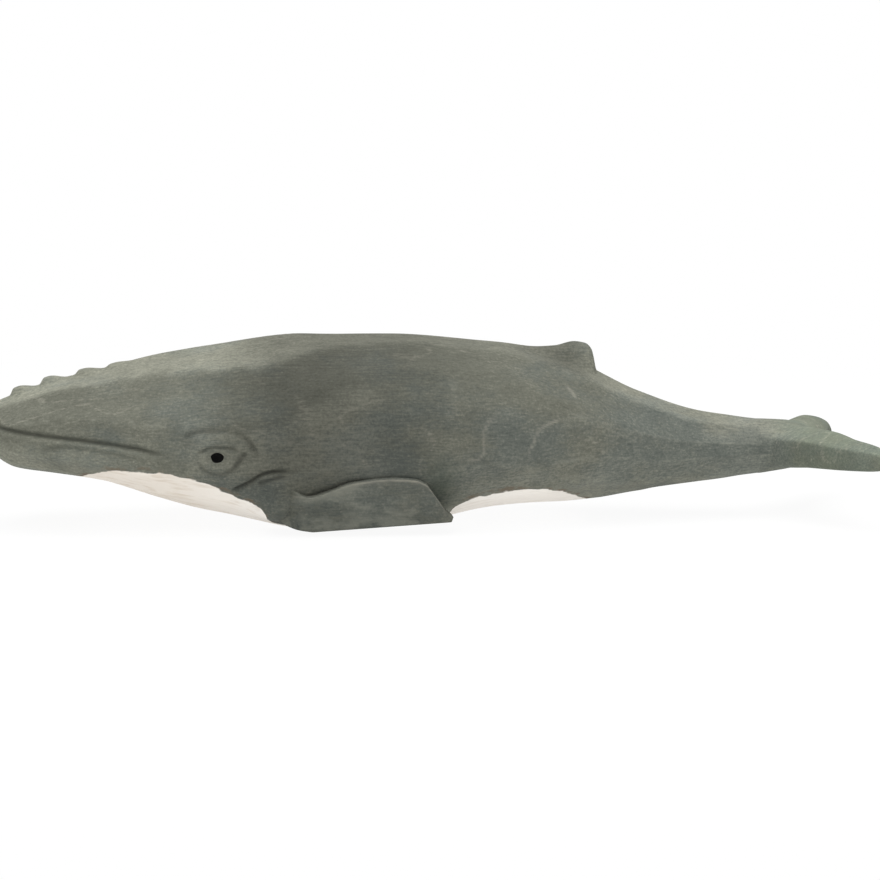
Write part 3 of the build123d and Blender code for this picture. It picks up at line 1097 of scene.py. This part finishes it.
    def _raise_fin(self, points: Array) -> Array:
        """Raises the dorsal fin: a rounded ridge that leaves the back gently and ends in a steep drop.

        Args:
            points: The carved skin.

        Returns:
            The points with those on the back lifted to the fin.
        """
        s = self.sizes
        x, y, z = (points[:, :, axis] for axis in range(3))
        top, half_width = self._read_along(FIN_SHARES, x)
        top = top * s.height - self.fin_fall * np.abs(y / half_width) ** 1.8
        in_reach = (x > s.along(FIN_SHARES[0][0])) & (x < s.along(FIN_END_SHARE)) & (z > 0.5 * s.height)
        raised = np.where(in_reach, soft_max(z, top, 1.0), z)
        return np.stack([x, y, raised], axis=-1)

    def _paint_depth(self, points: Array) -> Array:
        """How far inside the painted belly a point lies, in millimetres below the paint's edge."""
        x, z = points[:, :, 0], points[:, :, 2]
        places, heights = np.array(PAINT_EDGE).T
        return flowing_curve(places, heights, x.ravel()).reshape(x.shape) - z

    def _growth_rings(self, points: Array) -> Array:
        """How near a point of the left flank lies to a growth ring, as bells of the distance."""
        x, z = points[:, :, 0], points[:, :, 2]
        rings = np.zeros_like(x)
        for ring in GROWTH_RINGS:
            apart, way = line_distance(x, z, smooth_line(ring, 30))
            rings = np.maximum(rings, bell(apart, 0.26) * faded(way, 0.2, 0.8))
        return rings * (points[:, :, 1] < 0.0)

    def _stain(self, points: Array, crown: Array) -> tuple[Array, Array, Array]:
        """How much darker the stain lies than its plain colour: most at the shoulder, least on the crown.

        Much of it is painted light and shade: the crown, the jaw, the parts low and high up and the
        shoulder's swelling are painted lighter, and a painted shadow darkens the flank behind each
        flipper.

        Args:
            points: The carved skin.
            crown: How far each point lies on the crown's band.

        Returns:
            The darkness, 0 for the plain colour and below 0 where it is lighter. Then how green the stain
            is, which is in the painted shadow behind the flippers, and how much warmth, on the head and
            high up; the warmth mark also leaves the belly's paint lighter behind the head, a painted
            light.
        """
        s = self.sizes
        x, z = points[:, :, 0], points[:, :, 2]
        up = z / s.height
        plain, lighter = self._read_along(STAIN_SHARES, x)
        # Painted light on the jaw, low down, high up and on the shoulder; painted shadow behind the
        # flipper
        forward = 1.0 - smooth_step(s.along(0.16), s.along(0.26), x)
        jaw_light = forward * (1.0 - smooth_step(0.44, 0.54, up))
        low = 1.0 - smooth_step(0.1, 0.34, up)
        high = smooth_step(0.35, 0.8, up)
        flipper_shadow = oval_bell(x, z, (1.0, 8.5), (3.2, 4.5))
        shoulder = oval_bell(x, z, (-31.0, 5.0), (5.0, 6.0))
        uneven = 0.96 + 0.25 * jaw_light + 0.18 * low + 0.12 * high
        uneven = uneven * (1.0 - 0.3 * flipper_shadow + 0.15 * shoulder)
        # The warmth mark also paints the belly's paint lighter behind the head, a painted light
        head = 1.0 - smooth_step(s.along(0.2), s.along(0.4), x)
        warm = head + (1.0 - head) * (1.4 * smooth_step(0.45, 0.75, up) - 0.4)
        dark = 1.0 - plain * (1.0 + (lighter - 1.0) * crown) * uneven
        return dark, flipper_shadow, warm

    def _mesh(
        self, points: Array, marks: dict[str, Array], material: bpy.types.Material
    ) -> bpy.types.Object:
        """Closes the skin with a rounded nose and a flat end at the tail joint, and makes the piece.

        Args:
            points: The carved grid.
            marks: Values of the grid's points.
            material: The finish.

        Returns:
            The piece.
        """
        s = self.sizes
        turn = np.linspace(0.0, math.pi / 2, self.nose_rows + 1)[1:-1, None, None]
        first = points[0]
        middle = first.mean(axis=0)
        nose = middle + np.sin(turn) * (first - middle)
        nose[:, :, 0] = s.snout_x + self.nose_bulge * (1.0 - np.cos(turn[:, :, 0]))
        tips = np.array([[s.snout_x, 0.0, middle[2]], [s.joint_x, 0.0, points[-1, :, 2].mean()]])
        flat, faces = close_ends(np.concatenate([nose, points], axis=0), tips)
        values = {}
        for name, value in marks.items():
            front = np.repeat(value[:1], len(nose), axis=0)
            ends = [value[0].mean(), value[-1].mean()]
            values[name] = np.concatenate([front.ravel(), value.ravel(), ends])
        piece = make_piece("carved_body", flat, faces, values)
        return dress(piece, material, Slot.WOOD, "body")


def dress(
    piece: bpy.types.Object, material: bpy.types.Material, slot: Slot, *nodes: str
) -> bpy.types.Object:
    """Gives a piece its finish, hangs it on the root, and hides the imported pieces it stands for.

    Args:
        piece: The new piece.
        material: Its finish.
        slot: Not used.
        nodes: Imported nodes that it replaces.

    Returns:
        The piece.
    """
    piece.data.materials.append(material)
    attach(piece, "root")
    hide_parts(*nodes)
    LOG.info("%s: %d faces", piece.name, len(piece.data.polygons))
    return piece


@dataclass
class Flipper:
    """A paddle with a flat back, a knife-cut face and a worn rim, on one flank."""

    node: str
    mirrored: bool
    columns: int = 260
    stain: float = 0.36
    seed: int = 3

    # The rim's rounding in millimetres, and how far out the side and then the rim reach, as shares
    rim_radius: float = 1.0
    side_share: float = 0.78
    rim_share: float = 0.16

    # The face's cuts in millimetres: the blend at their edges, how high the cuts and the face lie, and the
    # most that a cut takes off
    cut_blend: float = 0.06
    cut_height: float = 0.22
    face_height: float = 0.55
    deepest_cut: float = 2.4

    # What falls away besides at the front and at its lower edge, and the most that is taken off there
    front_fall: float = 2.4
    low_front_fall: float = 2.0
    deepest_front: float = 5.0

    def build(self, material: bpy.types.Material) -> bpy.types.Object:
        """Builds the flipper as rings that shrink from the rim to the middle line of its face and back.

        Args:
            material: The finish.

        Returns:
            The piece.
        """
        low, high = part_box(self.node)
        front, rear, bottom, top = (value / MM for value in (low.x, high.x, low.z, high.z))
        half_height = (top - bottom) / 2
        outline = flipper_outline(low, high, self.columns)
        spine_x = np.clip(outline[:, 0], front + 0.9 * half_height, rear - 0.7 * half_height)
        spine = np.stack([spine_x, np.full(self.columns, (bottom + top) / 2)], axis=-1)
        shrink, out = self._rings(half_height)
        flat = outline[None] + shrink[..., None] * (spine - outline)[None]
        x, z = flat[..., 0], flat[..., 1]
        share_x, share_z = (x - front) / (rear - front), (z - bottom) / (top - bottom)
        pared, tone, ridge = self._cut_face(share_x, share_z)
        back, face = sorted((abs(low.y) / MM, abs(high.y) / MM))
        depth = back + out * (face - back - pared)
        points = np.stack([x, depth if self.mirrored else -depth, z], axis=-1)
        faces = grid_faces(*x.shape)
        if self.mirrored:
            faces = faces[:, ::-1]
        marks = {"tone": tone} | self._marks(out, share_x, share_z, ridge)
        marks = {name: values.ravel() for name, values in marks.items()}
        piece = make_piece(self.node + "_carved", points.reshape(-1, 3), faces.tolist(), marks)
        return dress(piece, material, Slot.WOOD, self.node)

    def _rings(self, half_height: float) -> tuple[Array, Array]:
        """Rings from the back's middle line over the side and the rim to the face's middle line.

        Args:
            half_height: Half the flipper's height, in millimetres.

        Returns:
            How far each ring shrinks towards the middle line and how far out it lies, from 0 to 1.
        """
        side, rim = self.side_share, self.rim_share
        reach = self.rim_radius / half_height
        face = side + rim
        turns = np.linspace(0.0, math.pi / 2, 9)[1:]
        rings = [(1.0, 0.0), (0.5, 0.0), (0.03, 0.0), (0.0, 0.1)]
        rings += [(0.0, share) for share in np.linspace(0.2, side, 12)]
        rings += [(reach * (1 - math.cos(turn)), side + rim * math.sin(turn)) for turn in turns]
        rings += [(reach + (1 - reach) * t, face + (1 - face) * t) for t in np.linspace(0, 1, 22)[1:]]
        shrink, out = np.array(rings).T
        return shrink[:, None], out[:, None]

    def _cut_face(self, share_x: Array, share_z: Array) -> tuple[Array, Array, Array]:
        """Pares the outer face in a few flat cuts, each a plane that lowers what stands above it.

        Args:
            share_x: Places along the flipper, from 0 at its front to 1.
            share_z: Places up the flipper, from 0 at its lower edge to 1.

        Returns:
            How much is pared off, each point's tone and how near it lies to an edge between cuts.
        """
        random = np.random.default_rng(self.seed)
        at_x, at_z, slope_x, slope_z = np.array(FLIPPER_CUTS).T
        tilt = slope_x * (share_x[..., None] - at_x) + slope_z * (share_z[..., None] - at_z)
        heights = self.cut_height + tilt
        weight = np.exp((heights.min(axis=-1, keepdims=True) - heights) / self.cut_blend)
        weight /= weight.sum(axis=-1, keepdims=True)
        pared = self.face_height - (weight * heights).sum(axis=-1)
        lower = 1.0 - smooth_step(0.2, 0.6, share_z)
        front = 1.0 - smooth_step(0.02, 0.24, share_x)
        fall = front * (self.front_fall + self.low_front_fall * lower)
        pared = np.minimum(np.clip(pared, 0.0, self.deepest_cut) + fall, self.deepest_front)
        ridge = np.clip(2.0 * (1.0 - weight.max(axis=-1)), 0.0, 1.0) * smooth_step(0.2, 0.35, share_x)
        tone = (weight * random.uniform(0.2, 0.9, len(FLIPPER_CUTS))).sum(axis=-1)
        return pared, tone, ridge

    def _marks(self, out: Array, share_x: Array, share_z: Array, ridge: Array) -> dict[str, Array]:
        """Marks painted shade in the seam over the upper edge, and the rim and edges that are rubbed pale,
        with wear and a painted highlight along the upper rim.

        Args:
            out: How far out each ring lies.
            share_x: Places along the flipper.
            share_z: Places up the flipper.
            ridge: How near each point lies to an edge between cuts.

        Returns:
            Values of the grid's points, by name.
        """
        up = 2.0 * share_z - 1.0
        # Painted shade on the flipper's upper side, where the flank shades the seam
        seam = 0.6 * (1.0 - 0.6 * smooth_step(0.68, 0.82, share_x)) * smooth_step(-0.2, 0.3, up)
        # The pale line along the upper rim is wear and a painted highlight
        worn_and_highlit_edge = smooth_step(-0.6, -0.2, up) * smooth_step(0.3, 0.5, share_x)
        rim = bell(out - 0.93, 0.05)
        return {
            "ridge": np.maximum(ridge * smooth_step(0.5, self.side_share, out), 0.9 * rim),
            "groove": seam * (1.0 - smooth_step(0.3, 0.72, out)),
            "dark": np.full(share_x.shape, self.stain),
            "ring": 1.8 * bell(out - 0.915, 0.018) * worn_and_highlit_edge,
        }


@dataclass
class EyePeg:
    """A black peg with a low domed head, a little wider than tall, in the socket of one eye."""

    node: str
    mirrored: bool
    columns: int = 64
    head_rows: int = 10
    dome: float = 0.25
    proud: float = 0.18
    wide: float = 1.1
    tall: float = 0.86

    def build(self, material: bpy.types.Material, sizes: WhaleSizes) -> bpy.types.Object:
        """Builds the peg as rings from its inner end to the middle of its head.

        Args:
            material: The finish.
            sizes: The body's sizes.

        Returns:
            The piece.
        """
        low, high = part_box(self.node)
        radius = (high.x - low.x) / 2 / MM
        inner, outer = sorted((abs(low.y) / MM, abs(high.y) / MM))
        turn = np.linspace(0.0, 2.0 * math.pi, self.columns, endpoint=False)[None, :]
        rise = np.linspace(0.0, math.pi / 2, self.head_rows)[:-1, None]
        size = np.vstack([[[1.0]], np.cos(rise)])
        depth = np.vstack([[[inner]], outer + self.proud + self.dome * (np.sin(rise) - 1.0)])
        uneven = 1.0 + 0.04 * np.sin(3 * turn + 0.6) + 0.03 * np.sin(5 * turn)
        x = sizes.along(EYE_PLACE_SHARE) + self.wide * radius * size * uneven * np.cos(turn)
        z = EYE_HEIGHT_SHARE * sizes.height + self.tall * radius * size * uneven * np.sin(turn)
        outward = 1.0 if self.mirrored else -1.0
        grid = np.stack([x, np.broadcast_to(outward * depth, x.shape), z], axis=-1)
        tips = grid[[0, -1]].mean(axis=1)
        tips[1, 1] = outward * (outer + self.proud)
        points, faces = close_ends(grid, tips)
        if self.mirrored:
            faces = [face[::-1] for face in faces]
        piece = make_piece(self.node + "_domed", points, faces)
        return dress(piece, material, Slot.EYE, self.node)


@dataclass
class TailFluke:
    """Both lobes of the tail and the root that joins them to the body, carved as one piece."""

    # The melted skin: its voxels in millimetres, and how often it is smoothed
    voxel: float = 0.3
    smoothing: int = 3

    # The wing: loops across the span, points of a loop, how square the tips are, and how far the right
    # tip hangs, as a share of the fluke's height
    stations: int = 141
    loop: int = 96
    tip_bluntness: int = 60
    tip_lean: float = 0.08

    # The root: how far it is sunk in the body, in millimetres, and how far it reaches, swells, flattens
    # from above and below, and widens, as shares
    root_rows: int = 48
    root_quarter: int = 18
    root_sink: float = 2.0
    root_reach: float = 0.6
    root_swell: float = 1.02
    crown_fall: float = 0.12
    belly_rise: float = 0.42
    widening: float = 0.35

    def build(self, material: bpy.types.Material, sizes: WhaleSizes) -> bpy.types.Object:
        """Builds wing and root as closed shells, and melts them into one skin.

        Args:
            material: The finish.
            sizes: The body's sizes.

        Returns:
            The piece.
        """
        low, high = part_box("tail_fluke")
        wing_points, wing_faces = self._wing(low, high)
        root_points, root_faces = self._root(low, high, sizes)
        faces = wing_faces + [[point + len(wing_points) for point in face] for face in root_faces]
        shells = make_piece("fluke_shells", np.vstack([wing_points, root_points]), faces)
        melt = shells.modifiers.new("melt", "REMESH")
        melt.mode = "VOXEL"
        melt.voxel_size = self.voxel * MM
        relax = shells.modifiers.new("relax", "SMOOTH")
        relax.factor = 0.5
        relax.iterations = self.smoothing
        melted = shells.evaluated_get(bpy.context.evaluated_depsgraph_get())
        mesh = bpy.data.meshes.new_from_object(melted)
        bpy.data.objects.remove(shells)
        mesh.name = "tail_fluke_carved"
        mesh.polygons.foreach_set("use_smooth", np.ones(len(mesh.polygons), bool))
        piece = bpy.data.objects.new("tail_fluke_carved", mesh)
        bpy.context.scene.collection.objects.link(piece)
        self._mark(mesh)
        return dress(piece, material, Slot.WOOD, "tail_fluke")

    def _wing(self, low: Vector, high: Vector) -> tuple[Array, list]:
        """A wing from tip to tip: at each station a closed loop with a blunt front and a thin rear edge.

        Args:
            low: Lowest corner of the fluke's box.
            high: Highest corner.

        Returns:
            Points and faces.
        """
        length = (high.x - low.x) / MM
        bottom, height = low.z / MM, (high.z - low.z) / MM
        half_span = (high.y - low.y) / 2 / MM
        place = np.sin(np.linspace(-math.pi / 2, math.pi / 2, self.stations))
        table = np.array(LOBE_SHARES)
        read = flowing_curve(table[:, 0], table[:, 1:], np.abs(place))
        lead, trail, lower, upper = (read[:, column, None] for column in range(4))
        tip = np.sqrt(np.clip(1.0 - np.abs(place) ** self.tip_bluntness, 0.0, 1.0))[:, None]
        drawn = np.array(smooth_line(LOBE_LOOP_SHARES, self.loop + 1))[:-1]
        chord, up = drawn[None, :, 0], drawn[None, :, 1]
        along = lead + (trail - lead) * (0.5 + (chord - 0.5) * (0.4 + 0.6 * tip))
        lean = 0.6 * smooth_step(0.6, 1.0, -place) - smooth_step(0.6, 1.0, place)
        middle = (lower + upper) / 2 + self.tip_lean * lean[:, None]
        x = low.x / MM + along * length
        y = np.broadcast_to(place[:, None] * half_span, x.shape)
        z = bottom + (middle + (upper - lower) * (up - 0.5) * tip) * height
        return close_ends(np.stack([x, y, z], axis=-1))

    def _root(self, low: Vector, high: Vector, sizes: WhaleSizes) -> tuple[Array, list]:
        """The root: the tail's own section, which flattens rearwards and closes in a rounded end.

        Args:
            low: Lowest corner of the fluke's box.
            high: Highest corner.
            sizes: The body's sizes.

        Returns:
            Points and faces.
        """
        _, crown, widest, belly, half_width, crown_full, belly_full = BODY_SECTION_SHARES[-1]
        length = (high.x - low.x) / MM
        reach = self.root_sink + self.root_reach * length
        share = np.linspace(0.0, 1.0, self.root_rows)[:, None]
        turn = np.linspace(0.0, 1.0, self.root_quarter, endpoint=False)[None, :]
        crown_out, crown_up = egg_arc(turn, crown_full)
        belly_out, belly_up = egg_arc(1.0 - turn, belly_full)
        out = np.concatenate([crown_out, belly_out], axis=1)
        up = np.concatenate([crown_up * (crown - widest), belly_up * (belly - widest)], axis=1)
        out = np.concatenate([out, np.zeros((1, 1)), -out[:, :0:-1]], axis=1)
        up = np.concatenate([up, np.full((1, 1), belly - widest), up[:, :0:-1]], axis=1)
        close = np.sqrt(np.clip(1.0 - share**6, 0.0, 1.0))
        behind = np.clip(share - self.root_sink / reach, 0.0, None)
        flattening = np.where(up > 0.0, self.crown_fall, self.belly_rise)
        tall = (1.0 - flattening * behind) * close
        wide = (1.0 + self.widening * smooth_step(0.1, 0.8, share)) * close
        y = -out * half_width * sizes.half_width * wide * self.root_swell
        z = widest * sizes.height + up * sizes.height * tall * self.root_swell
        x = np.broadcast_to(low.x / MM - self.root_sink + share * reach, y.shape)
        return close_ends(np.stack([x, y, z], axis=-1))

    @staticmethod
    def _mark(mesh: bpy.types.Mesh) -> None:
        """Marks the lobes' tone, their greener stain behind the tail joint, and how dark it is.

        Faces that look up are painted lighter, a painted light, and the right lobe is painted darker.
        """
        flat = np.empty(len(mesh.vertices) * 3)
        mesh.vertices.foreach_get("co", flat)
        x, y, _ = flat.reshape(-1, 3).T / MM
        mesh.vertices.foreach_get("normal", flat)
        # Painted light: faces that look up get a paler tone and less darkness
        painted_top_light = smooth_step(0.3, 0.62, flat.reshape(-1, 3)[:, 2])
        behind = smooth_step(x.min() + 1.0, x.min() + 10.0, x)
        right = smooth_step(0.0, 9.0, y)
        tone = 0.5 + 0.45 * painted_top_light * (1.0 - behind) + 0.12 * np.sin(y * 0.42 + x * 0.23) * behind
        dark = 0.08 - 0.19 * painted_top_light - behind * (0.04 + 0.14 * painted_top_light) + 0.16 * right
        set_marks(mesh, {"tone": np.clip(tone, 0, 1), "green": behind, "dark": dark})


@dataclass(frozen=True)
class Lamp:
    """A square soft lamp that faces the figure, in metres and watts."""

    name: str
    place: tuple[float, float, float]
    size: float
    power: float

    def build(self) -> None:
        """Adds the lamp to the scene."""
        light = bpy.data.lights.new(self.name, "AREA")
        light.size = self.size
        light.energy = self.power
        lamp = bpy.data.objects.new(self.name, light)
        lamp.location = self.place
        lamp.rotation_euler = (-Vector(self.place)).to_track_quat("-Z", "Y").to_euler()
        bpy.context.scene.collection.objects.link(lamp)


@dataclass(frozen=True)
class Studio:
    """The pale floor, the soft light and the camera, in degrees and metres."""

    azimuth: float = -5.5
    elevation: float = 7.5
    distance: float = 0.66
    view_width: float = 0.1712
    sensor_width: float = 36.0
    aim: tuple[float, float, float] = (0.0029, 0.0, 0.01533)
    lamps: tuple[Lamp, ...] = (
        Lamp("key", (-0.35, -0.75, 1.1), 0.9, 6.5),
        Lamp("top", (0.05, 0.1, 1.25), 1.0, 11.5),
        Lamp("fill", (0.7, -0.9, 0.45), 0.9, 2.0),
    )
    world_strength: float = 0.5

    # The floor's half width and colour, and its glowing share: always, more where seen, and more far off
    floor_half: float = 4.0
    floor_colour: tuple[float, float, float, float] = (0.93, 0.93, 0.92, 1.0)
    floor_glow: float = 0.45
    seen_glow: float = 0.48
    far_glow: float = 0.07

    def build(self) -> None:
        """Makes the stage and sets the plain view transform."""
        self._floor()
        self._world()
        for lamp in self.lamps:
            lamp.build()
        self._camera()
        bpy.context.scene.view_settings.view_transform = "Standard"

    def _floor(self) -> None:
        """A wide pale floor that shows white where nothing shades it."""
        half = self.floor_half / MM
        corners = [(-half, -half, 0.0), (half, -half, 0.0), (half, half, 0.0), (-half, half, 0.0)]
        floor = make_piece("floor", np.array(corners), [[0, 1, 2, 3]])
        finish = Finish("pale_floor")
        seen = finish.ray("Camera").at_least(finish.ray("Glossy")).at_least(finish.ray("Transmission"))
        matt = finish.node("ShaderNodeBsdfDiffuse", {}, {"Color": self.floor_colour})
        bright = finish.node("ShaderNodeEmission", {}, {"Color": WHITE, "Strength": 1.0})
        place = finish.coordinates()
        away = finish.node("ShaderNodeVectorMath", {"operation": "LENGTH"}, {0: place}, "Value")
        share = self.floor_glow + seen * (self.seen_glow + away.eased(0.1, 0.3) * self.far_glow)
        shown = finish.node("ShaderNodeMixShader", {}, {0: share, 1: matt, 2: bright})
        finish.output(shown)
        floor.data.materials.append(finish.material)

    def _world(self) -> None:
        """Even pale light all round, and white where the camera sees past the floor."""
        world = bpy.data.worlds.new("studio")
        world.use_nodes = True
        bpy.context.scene.world = world
        nodes, links = world.node_tree.nodes, world.node_tree.links
        nodes.clear()
        path = nodes.new("ShaderNodeLightPath")
        mix = nodes.new("ShaderNodeMixShader")
        links.new(path.outputs["Is Camera Ray"], mix.inputs[0])
        for slot, strength in ((1, self.world_strength), (2, 1.0)):
            light = nodes.new("ShaderNodeBackground")
            light.inputs["Color"].default_value = WHITE
            light.inputs["Strength"].default_value = strength
            links.new(light.outputs[0], mix.inputs[slot])
        output = nodes.new("ShaderNodeOutputWorld")
        links.new(mix.outputs[0], output.inputs["Surface"])

    def _camera(self) -> None:
        """Places the camera at the photograph's angle, with a view as wide as its frame."""
        turn, rise = math.radians(self.azimuth), math.radians(self.elevation)
        back = Vector((math.sin(turn) * math.cos(rise), -math.cos(turn) * math.cos(rise), math.sin(rise)))
        data = bpy.data.cameras.new("camera")
        data.sensor_width = self.sensor_width
        data.lens = data.sensor_width * self.distance / self.view_width
        camera = bpy.data.objects.new("camera", data)
        camera.location = Vector(self.aim) + back * self.distance
        camera.rotation_euler = (-back).to_track_quat("-Z", "Y").to_euler()
        bpy.context.scene.collection.objects.link(camera)
        bpy.context.scene.camera = camera


def finish_dowels(frame: dict) -> None:
    """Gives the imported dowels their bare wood."""
    beech = PlainPeg("dowel_beech", srgb(205, 178, 140), srgb(182, 150, 110), 0.6).build()
    for node in ("flipper_dowels", "fluke_dowel"):
        packed = frame["nodes"][node]
        packed.data.materials.clear()
        packed.data.materials.append(beech)
        LOG.info("%s: packed piece, new finish", node)


def main() -> None:
    """Loads the frame and builds each part of the figure in order."""
    logging.basicConfig(level=logging.INFO, format="%(name)s: %(message)s")
    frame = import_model()
    sizes = WhaleSizes.from_frame()
    CarvedBody(sizes).build(StainedWood("body_stain", painted=True).build())
    flipper_stain = StainedWood("flipper_stain").build()
    Flipper("left_flipper", False).build(flipper_stain)
    Flipper("right_flipper", True, seed=5).build(flipper_stain)
    TailFluke().build(flipper_stain, sizes)
    lacquer = PlainPeg("eye_lacquer", srgb(3, 3, 3), srgb(9, 9, 8), 0.5, 0.06).build()
    EyePeg("left_eye_peg", False).build(lacquer, sizes)
    EyePeg("right_eye_peg", True).build(lacquer, sizes)
    finish_dowels(frame)
    Studio().build()


if __name__ == "__main__":
    main()
